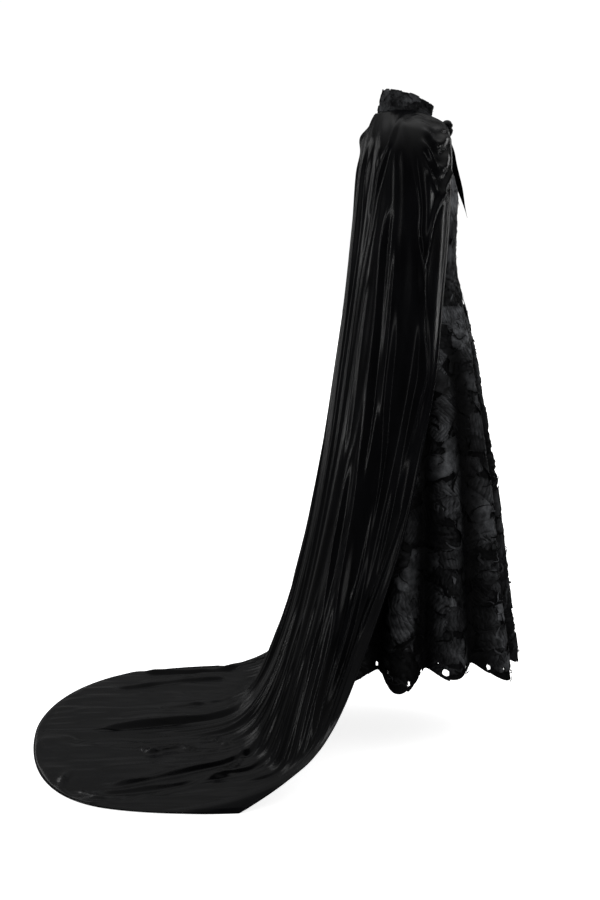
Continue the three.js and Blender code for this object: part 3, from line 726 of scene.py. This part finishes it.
def add_values(piece, gap, shade):
    """Two numbers for each point, which the materials read by name: where the net is cut, and a
    shade that holds the cloth's own tone with painted light and shade.
    """
    for name, values in (("gap", gap), ("shade", shade)):
        layer = piece.data.attributes.new(name, "FLOAT", "POINT")
        layer.data.foreach_set("value", np.ascontiguousarray(values, np.float32).ravel())
    return piece


def net_piece(name, point, flat, gap, shade, turn=False):
    """Piece of net from a grid of points."""
    faces = grid_faces(*point.shape[:2], turn=turn)
    return add_values(make_piece(name + "_cloth", point.reshape(-1, 3), faces, NET_FINISH,
                                 flat.reshape(-1, 2)), gap, shade)


def dress_panel(name, first_at, last_at, angles, rows, columns):
    """Net panel between two stations, each a number or a function of the angle, over the angles
    that `angles(at, share)` gives. Rows lie closer together towards the lower edge."""
    share = np.linspace(0, 1, columns)[None, :]
    down = 1 - (1 - np.linspace(0, 1, rows)[:, None]) ** 1.35
    low = last_at(angles(first_at, share)) if callable(last_at) else last_at
    at = mix(first_at, low, down) * np.ones_like(share)
    angle = angles(at, share * np.ones_like(at))
    point, normal = dress_place(at, angle)
    flat = np.stack([np.radians(angle) * NET_RADIUS * MM, at * MM], -1)
    # The net's shade value is the painted shade between the skirt's ridges.
    return net_piece(name, point + normal * NET_FACE, flat, openness(at, angle),
                     painted_valley_shade(at, angle))


panels = {}
for node, columns, angles in (
        ("bodice_front", 64, lambda at, share: mix(-side_angle(at), side_angle(at), share)),
        ("bodice_back_left", 34, lambda at, share: mix(180 - side_angle(at), 180, share)),
        ("bodice_back_right", 34, lambda at, share: mix(-180, side_angle(at) - 180, share))):
    panels[node] = dress_panel(node, NECK_AT, WAIST_AT, angles, 72, columns)
for node, start, end in GORES:
    panels[node] = dress_panel(
        node, WAIST_AT, hem_station, lambda at, share, a=start, b=end: mix(a, b, share), 130, 42)

# ---- stand collar ----

COLLAR_TOP = dict(sideX=56, sideY=0, sideZ=45, frontY=-68, frontZ=13, backY=44, backZ=55)
COLLAR_FOOT = {name: DRESS[name][0] for name in COLLAR_TOP}
COLLAR_RISE = 62
COLLAR_RADIUS = 60


def collar_place(at, angle):
    """Inner face of the collar and its outward direction: the neck ring carried up to the top
    ring, a little hollow between. `at` runs from 0 at the seam to -COLLAR_RISE at the top."""
    height = -np.asarray(at, float)[..., None] / COLLAR_RISE
    foot = ring_point(COLLAR_FOOT, np.asarray(angle, float))
    rim = ring_point(COLLAR_TOP, np.asarray(angle, float), 1.2)
    point = mix(foot, rim, height)
    point[..., 0] *= 1 - 0.035 * np.sin(np.pi * np.clip(height[..., 0], 0, 1))
    way = np.radians(angle)
    return point, np.stack([np.sin(way), -np.cos(way), 0 * way], -1)


def collar_cloth():
    """The collar's own band: a grid round the neck with a slightly uneven top edge."""
    rows, columns = 26, 200
    angle = np.linspace(-180, 180, columns)[None, :]
    height = np.linspace(0, 1, rows)[:, None]
    height = height * (1 + 0.02 * ripple(angle / 9, 0 * angle, 5))
    angle, height = np.broadcast_arrays(angle, height)
    point, outward = collar_place(-COLLAR_RISE * height, angle)
    point = point + outward * 2.2
    point[0, :, 2] += 0.3
    flat = np.stack([np.radians(angle) * COLLAR_RADIUS * MM, height * COLLAR_RISE * MM], -1)
    return net_piece("stand_collar", point, flat, np.full(angle.shape, NO_GAP),
                     np.full(angle.shape, 0.6), turn=True)


panels["stand_collar"] = collar_cloth()

# ---- sewn strips ----

PATCH = dict(first=34, pitch=50, spacing=74, long=43, wide=27)
PATCH_COLUMNS = "at angle long wide turn height seed tuck shade".split()
AT, ANGLE, LONG, WIDE, TURN, HEIGHT, SEED, TUCK, SHADE = range(9)
TUCKED, GATHERED = 0.5, 0.72  # shares of the patches
TUCKED_GRID, PLAIN_GRID, COLLAR_GRID = (40, 7), (16, 11), (40, 9)
RIBBON_GRID = 13, 3


def dress_patches():
    """Staggered bands of patches over bodice and skirt, one row for each: station, angle, half
    length, half width, turn in degrees, height, a number of its own, tuck spacing and shade. The
    shade is the patch's own tone with painted light, lighter on the bodice and darker down the
    skirt."""
    rows = []
    for band, at in enumerate(range(PATCH["first"], HEM_AT - 14, PATCH["pitch"])):
        count = max(6, round(2 * math.pi * float(ring_radius(at)) / PATCH["spacing"]))
        for k in range(count):
            rows.append((
                at + 26 * (scatter(band, k) - 0.5),
                360 * (k + 0.5 * (band % 2) + 0.5 * (scatter(k, band) - 0.5)) / count,
                PATCH["long"] * mix(0.7, 1.2, scatter(band + 7, k)),
                PATCH["wide"] * mix(0.7, 1.2, scatter(band, k + 5)),
                mix(-50, 50, scatter(band + 3, k + 11)),
                mix(0.8, 1.6, scatter(band + 13, k)),
                band * 37 + k,
                mix(6.5, 9.5, scatter(band + 2, k + 31)),
                # Own tone at random, times painted light: lighter on the bodice, darker down the
                # skirt.
                mix(0.15, 1, scatter(band + 19, k + 3)) * mix(1.2, 0.5, ease((at - 250) / 600)),
            ))
    return np.array(rows)


def between_patches(patches):
    """A lower layer of smaller patches in the gaps between those of the first."""
    more = patches.copy()
    number = patches[:, SEED]
    more[:, AT] += PATCH["pitch"] / 2 + 24 * (scatter(number, 3) - 0.5)
    more[:, ANGLE] += np.degrees(PATCH["spacing"] / 4 / ring_radius(patches[:, AT]))
    more[:, LONG:TURN] *= (0.62 + 0.4 * scatter(number, 8))[:, None]
    more[:, TURN] = mix(-90, 90, scatter(number, 17))
    more[:, HEIGHT] = -0.6
    more[:, SEED] += 4000
    more[:, SHADE] *= 0.3 + 0.6 * scatter(number, 23)
    return more[(more[:, AT] > 20) & (more[:, AT] < HEM_AT - 24)]


def keep_on_cloth(at, angle, centre):
    """Moves places that would lie in an armhole or past neck or hem back onto the cloth."""
    turned = (angle + 180) % 360 - 180
    middle = (centre + 180) % 360 - 180
    edge = side_angle(at)
    by_armhole = (at > SHOULDER_AT) & (at < ARMPIT_AT)
    front = np.abs(middle) < 90
    kept = np.where(front, np.clip(turned, -edge, edge),
                    np.sign(middle) * np.maximum(np.abs(turned), 180 - edge))
    turned = np.where(by_armhole, kept, turned)
    return np.clip(at, NECK_AT + 1, hem_station(turned) + 3), turned


def patch_outline(u, v, patch):
    """A rounded oblong with a wavy outline and a torn rim, from two shares from -1 to 1."""
    rim = np.maximum(np.abs(u), np.abs(v))
    x, y = u * (1 - 0.13 * v * v), v * (1 - 0.13 * u * u)
    way = np.arctan2(y, x)
    wavy = 1 + 0.17 * ripple(way * 1.4 + 20, 0 * way + patch["seed"], 3)
    torn = 0.1 * ripple(way * 9 + 60, 0 * way + patch["seed"], 7) * rim**4
    return x * (wavy + torn) * patch["long"], y * (wavy + torn) * patch["wide"], rim, way


def tucked_relief(x, y, patch):
    """Laps like tiles that rise slowly and drop sharply, slanted and a little uneven, with a
    painted light that is darker under each drop and lighter up to the top of each lap.
    """
    slant = mix(-0.9, 0.9, scatter(patch["seed"], 61))
    lap = (x + slant * y) / patch["tuck"] + 0.3 * ripple(x / 34, y / 16, patch["seed"])
    step = lap - np.floor(lap)
    return 0.3 * patch["tuck"] * step**0.8, 0.12 + 1.05 * step**0.7


def plain_relief(x, y, patch):
    """Crumples on a gathered patch, or a few flat creases on a smooth one, with a painted light
    that is lighter where they stand higher.
    """
    gathered = scatter(patch["seed"], 41) < GATHERED
    crumpled = (3.6 * np.abs(ripple(x / 8, y / 8, patch["seed"] + 5))
                + ripple(x / 4, y / 4, patch["seed"] + 9))
    creased = 1.1 * ripple(x / 30, y / 10, patch["seed"] + 2) + 0.6
    return (np.where(gathered, crumpled, creased),
            np.where(gathered, 0.04 + 0.14 * crumpled, 1.05 + 0.1 * creased))


def sewn_patches(patches, place, radius, keep, relief, grid):
    """Points, faces, flat places and shades of patches of cloth. Each is a grid drawn to its torn
    outline, laid on the surface by its own x and y, raised by its relief, and sewn down round its
    rim but for short lengths that curl up. Its shade is its own tone times the painted light of its
    relief, darker towards its rim, and on the dress the painted shade between the skirt's ridges."""
    patch = {name: column[:, None, None] for name, column in zip(PATCH_COLUMNS, patches.T)}
    long_count, wide_count = grid
    u = np.linspace(-1, 1, long_count)[None, :, None]
    v = np.linspace(-1, 1, wide_count)[None, None, :]
    x, y, rim, way = patch_outline(u, v, patch)
    turn = np.radians(patch["turn"])
    station = patch["at"] + x * np.sin(turn) + y * np.cos(turn)
    angle = patch["angle"] + np.degrees((x * np.cos(turn) - y * np.sin(turn)) / radius(patch["at"]))
    station, angle = keep(station, angle, patch["angle"])
    point, normal = place(station, angle)
    height, light = relief(x, y, patch)
    sewn = ease((1 - rim) * 6)
    loose = ease((ripple(way * 2.2, 0 * way + patch["seed"], 31) - 0.15) * 3)
    curled = 3.4 * loose * ease((rim - 0.82) / 0.18)
    raised = (NET_FACE + 0.9 + patch["height"] * (0.4 + sewn) + height * (0.25 + 0.75 * sewn)
              + curled)
    point = point + normal * raised[..., None]
    count = long_count * wide_count
    faces = np.concatenate([grid_faces(*grid, first=k * count) for k in range(len(patches))])
    flat = np.stack([x * MM + patch["seed"] * 0.013, y * MM + patch["seed"] * 0.017], -1)
    # Own tone times the painted light of the relief, darker towards the rim.
    shade = patch["shade"] * light * mix(0.6, 1, sewn)
    # On the dress the shade also takes the painted shade between the skirt's ridges.
    if keep is keep_on_cloth:
        shade = shade * painted_valley_shade(station, angle)
        gap = openness(station, angle)
    else:
        gap = np.full(station.shape, NO_GAP)
    return point.reshape(-1, 3), faces, flat.reshape(-1, 2), shade.ravel(), gap.ravel()


def sewn_ribbons(count, first, last, seed):
    """Narrow frayed strips sewn on at both ends: each runs along an arc on the cloth, stands off
    it in the middle, and is a little hollow across."""
    steps, wide_count = RIBBON_GRID
    k = np.arange(count)[:, None]
    t = np.linspace(0, 1, steps)[None, :]
    heading = (2 * np.pi * scatter(k, seed) + mix(-2.4, 2.4, scatter(k, seed + 1)) * t
               + 0.8 * ripple(t * 4, k, seed))
    length = mix(20, 62, scatter(k, seed + 2) ** 1.5)
    x = np.cumsum(np.cos(heading), axis=1) * length / (steps - 1)
    y = np.cumsum(np.sin(heading), axis=1) * length / (steps - 1)
    half = (mix(0.8, 3.2, scatter(k, seed + 3) ** 2) * (0.35 + 0.65 * np.sin(np.pi * t))
            + 0.3 * ripple(t * 12, k, seed))
    centre_at = mix(first, last, scatter(k, seed + 4) ** 0.8)
    centre_angle = 360 * scatter(k, seed + 5)
    across = np.linspace(-1, 1, wide_count)[None, None, :]
    side_x = x[..., None] - np.sin(heading)[..., None] * half[..., None] * across
    side_y = y[..., None] + np.cos(heading)[..., None] * half[..., None] * across
    station = centre_at[..., None] + side_y
    angle = centre_angle[..., None] + np.degrees(side_x / ring_radius(centre_at)[..., None])
    station, angle = keep_on_cloth(station, angle, centre_angle[..., None])
    point, normal = dress_place(station, angle)
    lift = mix(0.5, 5.5, scatter(k, seed + 6) ** 2) * np.sin(np.pi * t)
    raised = (NET_FACE + 4.0 + lift[..., None]
              + 0.6 * np.abs(across) * ripple(t * 5, k, seed + 7)[..., None])
    point = point + normal * raised[..., None]
    faces = np.concatenate([grid_faces(*RIBBON_GRID, first=n * steps * wide_count)
                            for n in range(count)])
    flat = np.stack([side_x * MM, side_y * MM], -1)
    # Own tone at random, times the painted shade between the skirt's ridges.
    shade = (0.5 * scatter(k, seed + 8) ** 3)[..., None] * painted_valley_shade(station, angle)
    return (point.reshape(-1, 3), faces, flat.reshape(-1, 2), shade.ravel(),
            np.full(station.size, NO_GAP))


def strip_piece(name, groups):
    """One piece from several groups of strips."""
    starts = np.cumsum([0] + [len(group[0]) for group in groups[:-1]])
    faces = np.concatenate([group[1] + start for group, start in zip(groups, starts)])
    points, flat, shade, gap = (np.concatenate([group[k] for group in groups])
                                for k in (0, 2, 3, 4))
    return add_values(make_piece(name, points, faces, STRIP_FINISH, flat), gap, shade)


def dress_strips(name, first, last, ribbons, seed):
    """The patches and ribbons between two stations as one piece."""
    chosen = ALL_PATCHES[(ALL_PATCHES[:, AT] >= first) & (ALL_PATCHES[:, AT] < last)]
    tucked = scatter(chosen[:, SEED], 41) < TUCKED
    on_dress = dress_place, ring_radius, keep_on_cloth
    return strip_piece(name, [
        sewn_patches(chosen[tucked], *on_dress, tucked_relief, TUCKED_GRID),
        sewn_patches(chosen[~tucked], *on_dress, plain_relief, PLAIN_GRID),
        sewn_ribbons(ribbons, max(first, 20), min(last, HEM_AT - 20), seed),
    ])


FIRST = dress_patches()
ALL_PATCHES = np.concatenate([between_patches(FIRST), FIRST])
bodice_strips = dress_strips("bodice_strips", 0, WAIST_AT, 240, 101)
skirt_strips = dress_strips("skirt_strips", WAIST_AT, 960, 400, 211)
skirt_low_strips = dress_strips("skirt_low_strips", 960, HEM_AT + 30, 520, 331)


def collar_patches():
    """Three rows of small patches round the collar."""
    count = 42
    k = np.arange(count)
    row = k % 3
    return np.stack([
        -11.0 - 20.5 * row + 6 * scatter(k, 1),
        360 * (k + 0.5 * scatter(k, 2)) / count - 178,
        24 * (0.8 + 0.4 * scatter(k, 5)),
        14 * (0.8 + 0.4 * scatter(k, 6)),
        mix(-70, 70, scatter(k, 8)),
        0.3 + 0.8 * scatter(k, 12),
        8000.0 + k,
        mix(3.6, 5.6, scatter(k, 13)),
        mix(0.04, 0.62, scatter(k, 14)),
    ], -1)


def keep_on_collar(at, angle, centre):
    return np.clip(at, -COLLAR_RISE - 3, -1.5), np.clip(angle, -179.5, 179.5)


collar_strips = strip_piece("collar_strips", [
    sewn_patches(collar_patches(), collar_place, lambda at: COLLAR_RADIUS + 0 * at, keep_on_collar,
                 tucked_relief, COLLAR_GRID)])

# ---- knot and tie ends ----

KNOT = dict(y=-105, z=-34, half_width=24, half_depth=14.5, half_height=20.5)
TIE_WIDE = 19
TIE_THICK = 3
TIE_RIGHT = table("x y z", [
    (-6, -103, -51.6), (-11, -113, -84), (-14, -120, -120), (-15, -129, -155), (-14, -142, -201),
    (-12, -154, -243),
])
TIE_LEFT = table("x y z", [
    (6, -103, -51.6), (12, -113, -86), (16, -120, -120), (18, -128, -155), (19, -134, -186),
    (19, -139, -214),
])


def knot_cloth():
    """A rounded lump of wrapped velvet: a ball drawn out sideways, with winding grooves."""
    rings, sides = 60, 96
    rise = -np.cos(np.pi * np.linspace(0.02, 0.98, rings))[:, None]
    turn = np.linspace(0, 2 * np.pi, sides, endpoint=False)[None, :]
    wind = rise - 0.35 * np.sin(turn + 0.6)
    groove = (1 - 0.17 * bump(wind / 0.2) - 0.06 * bump((wind - 0.55) / 0.12)
              - 0.05 * bump((wind + 0.5) / 0.1) + 0.02 * np.sin(9 * wind + 3 * turn))
    reach = np.sqrt(1 - np.abs(rise) ** 2.6) * groove
    point = np.stack([KNOT["half_width"] * reach * np.sin(turn),
                      KNOT["y"] - KNOT["half_depth"] * reach * np.cos(turn),
                      KNOT["z"] + KNOT["half_height"] * rise * np.ones_like(turn)], -1)
    return make_piece("tie_knot_cloth", point.reshape(-1, 3), tube_faces(rings, sides),
                      VELVET_FINISH)


def tie_cloth(name, path, seed):
    """A soft flat strip along its path: narrow at the knot, full in the middle, pointed at its
    end, with a lengthways crease and edges that curl a little."""
    rows, sides = 90, 28
    points = np.stack([path["x"], path["y"], path["z"]], -1)
    chord = np.concatenate([[0], np.cumsum(np.linalg.norm(np.diff(points, axis=0), axis=1))])
    share = np.linspace(0, 1, rows)
    route = {"at": chord, "x": path["x"], "y": path["y"], "z": path["z"]}
    s = share * chord[-1]
    centre = np.stack([smooth(route, axis, s) for axis in "xyz"], -1)
    along = unit(np.gradient(centre, axis=0))
    turn = mix(0.95, 0.35, share)
    wideways = np.stack([np.cos(turn), np.sin(turn), 0 * turn], -1)
    wideways = unit(wideways - along * (wideways * along).sum(-1, keepdims=True))
    through = np.cross(along, wideways)
    taper = 1 - 0.94 * ease((share - 0.6) / 0.4)
    half = TIE_WIDE / 2 * mix(0.5, 1, ease(share * 4)) * taper
    around = 2 * np.pi * (np.arange(sides) + 0.5) / sides
    wave = 1.5 * np.sin(6 * share[:, None] + 2.5 * np.cos(around)[None, :] + seed)
    wave = wave * ease(share * 3)[:, None] * taper[:, None]
    blunt = np.sign(np.sin(around)) * np.abs(np.sin(around)) ** 0.5
    depth = TIE_THICK * 0.36 * blunt * np.minimum(1, taper + 0.15)[:, None] + 0.6 * wave
    ring = (centre[:, None] + wideways[:, None] * (half[:, None] * np.cos(around))[..., None]
            + through[:, None] * depth[..., None])
    return make_piece(name, ring.reshape(-1, 3), tube_faces(rows, sides), VELVET_FINISH)


def close_ends(piece):
    """Closes the open rings at both ends of a tube and turns its faces outwards."""
    shape = bmesh.new()
    shape.from_mesh(piece.data)
    rims = [edge for edge in shape.edges if edge.is_boundary]
    bmesh.ops.holes_fill(shape, edges=rims)
    bmesh.ops.recalc_face_normals(shape, faces=shape.faces)
    shape.to_mesh(piece.data)
    shape.free()


knot = knot_cloth()
tie_right = tie_cloth("tie_end_right_cloth", TIE_RIGHT, 0.4)
tie_left = tie_cloth("tie_end_left_cloth", TIE_LEFT, 2.1)
for piece in (knot, tie_right, tie_left):
    close_ends(piece)

cape_left = cape_half("cape_left_cloth", CAPE_LEFT, FOLDS_LEFT, RIDGES_LEFT, 1, 11)
cape_right = cape_half("cape_right_cloth", CAPE, FOLDS_RIGHT, RIDGES_RIGHT, -1, 23)

for piece in panels.values():
    thicken(piece, NET)
velvet_pieces = {"cape_left": cape_left, "cape_right": cape_right, "tie_knot": knot,
                 "tie_end_right": tie_right, "tie_end_left": tie_left}
for node, piece in {**panels, **velvet_pieces}.items():
    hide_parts(node)

# ---- strips picked for each gore, not used further ----

for node, start, end in GORES:
    strips = [skirt_strips, skirt_low_strips] if node == "skirt_front" else []

# ---- studio ----

EYE = Vector((-4.1591259, 0.5845270, -0.328))
AHEAD = Vector((0.99046059, -0.08111432, -0.11139249))


def placed(name, data, place, ahead):
    """Something of the studio that looks along a direction."""
    holder = bpy.data.objects.new(name, data)
    holder.location = place
    holder.rotation_mode = "QUATERNION"
    holder.rotation_quaternion = ahead.to_track_quat("-Z", "Y")
    bpy.context.scene.collection.objects.link(holder)
    return holder


def strip_light(name, place, target, size, power):
    """A soft box that lights the object but isn't seen itself."""
    lamp = bpy.data.lights.new(name, "AREA")
    lamp.shape = "RECTANGLE"
    lamp.size, lamp.size_y = size
    lamp.energy = power
    holder = placed(name, lamp, place, Vector(target) - Vector(place))
    holder.visible_camera = False
    return holder


lens = bpy.data.cameras.new("camera")
lens.sensor_fit = "AUTO"
lens.sensor_width = 36
lens.lens = 70
bpy.context.scene.camera = placed("camera", lens, EYE, AHEAD)

BOXES = [strip_light(*box) for box in [
    ("left_box", (0.1, 3.7, 0.0), (0, 0.2, -0.6), (0.14, 2.0), 42),
    ("right_box", (-2.9, -2.0, 0.1), (0, 0, -0.5), (0.2, 2.0), 32),
    ("front_box", (-0.9, -3.4, 0.8), (0, 0, -0.3), (0.5, 1.6), 15),
    ("ridge_box", (1.2, -3.4, -0.25), (0, 0, -0.5), (0.15, 1.3), 22),
    ("far_left_box", (3.0, 1.8, 0.0), (0, 0.1, -0.6), (0.3, 1.7), 4),
    ("far_right_box", (2.8, -2.2, 0.1), (0, 0, -0.6), (0.4, 1.8), 7),
]]


CEILING = 0.3, 0.9, 0.135, 1.35  # between two heights, the strength lower down and overhead


def studio_world():
    """White surroundings. The object is lit by a soft white ceiling that darkens to the sides."""
    world = bpy.data.worlds.new("studio")
    sky = Nodes(world)
    place = sky.node("ShaderNodeTexCoord", {}, {}, "Generated")
    ceiling = sky.node("ShaderNodeMapRange", {"interpolation_type": "SMOOTHSTEP"}, {
        "Value": sky.node("ShaderNodeSeparateXYZ", {}, {0: place}, "Z"),
        **dict(zip(("From Min", "From Max", "To Min", "To Max"), CEILING))}, "Result")
    seen = sky.node("ShaderNodeLightPath", {}, {}, "Is Camera Ray")
    background = sky.tree.nodes["Background"]
    sky.put(background.inputs["Color"], (1, 1, 1, 1))
    sky.put(background.inputs["Strength"], sky.node("ShaderNodeMix", {}, {
        "Factor": seen, "A": ceiling, "B": 1.03}, "Result"))
    return world


bpy.context.scene.world = studio_world()
bpy.context.scene.view_settings.view_transform = "Standard"

pale = Finish("pale_floor", Base_Color=(0.94, 0.94, 0.94, 1), Roughness=0.95,
              Emission_Color=(1, 1, 1, 1), Emission_Strength=0.85)
pale.set("Base Color", pale.grey((0.93, 0.93, 0.93), (0.95, 0.95, 0.95),
                                 pale.noise(pale.object_place(), 4.0)))
FLOOR_REACH = 30
floor_mesh = bpy.data.meshes.new("floor")
floor_mesh.from_pydata([(x * FLOOR_REACH, y * FLOOR_REACH, FLOOR * MM)
                        for x, y in ((-1, -1), (1, -1), (1, 1), (-1, 1))], [], [(0, 1, 2, 3)])
floor = bpy.data.objects.new("floor", floor_mesh)
floor_mesh.materials.append(pale.material)
bpy.context.scene.collection.objects.link(floor)
floor.visible_glossy = False  # the velvet would mirror it along every fold


def shielded(box, left_dark):
    """The box doesn't light the given pieces."""
    dark = bpy.data.collections.new("dark_for_" + box.name)
    for piece in left_dark:
        dark.objects.link(piece)
    for link in dark.collection_objects:
        link.light_linking.link_state = "EXCLUDE"
    box.light_linking.receiver_collection = dark


# The boxes don't light the floor, so that it stays an even white. One lights the net alone, and
# one the velvet alone.
net_pieces = [*panels.values(), collar_strips, bodice_strips, skirt_strips, skirt_low_strips]
for box in BOXES:
    others = {"front_box": velvet_pieces.values(), "ridge_box": net_pieces}.get(box.name, [])
    shielded(box, [floor, *others])
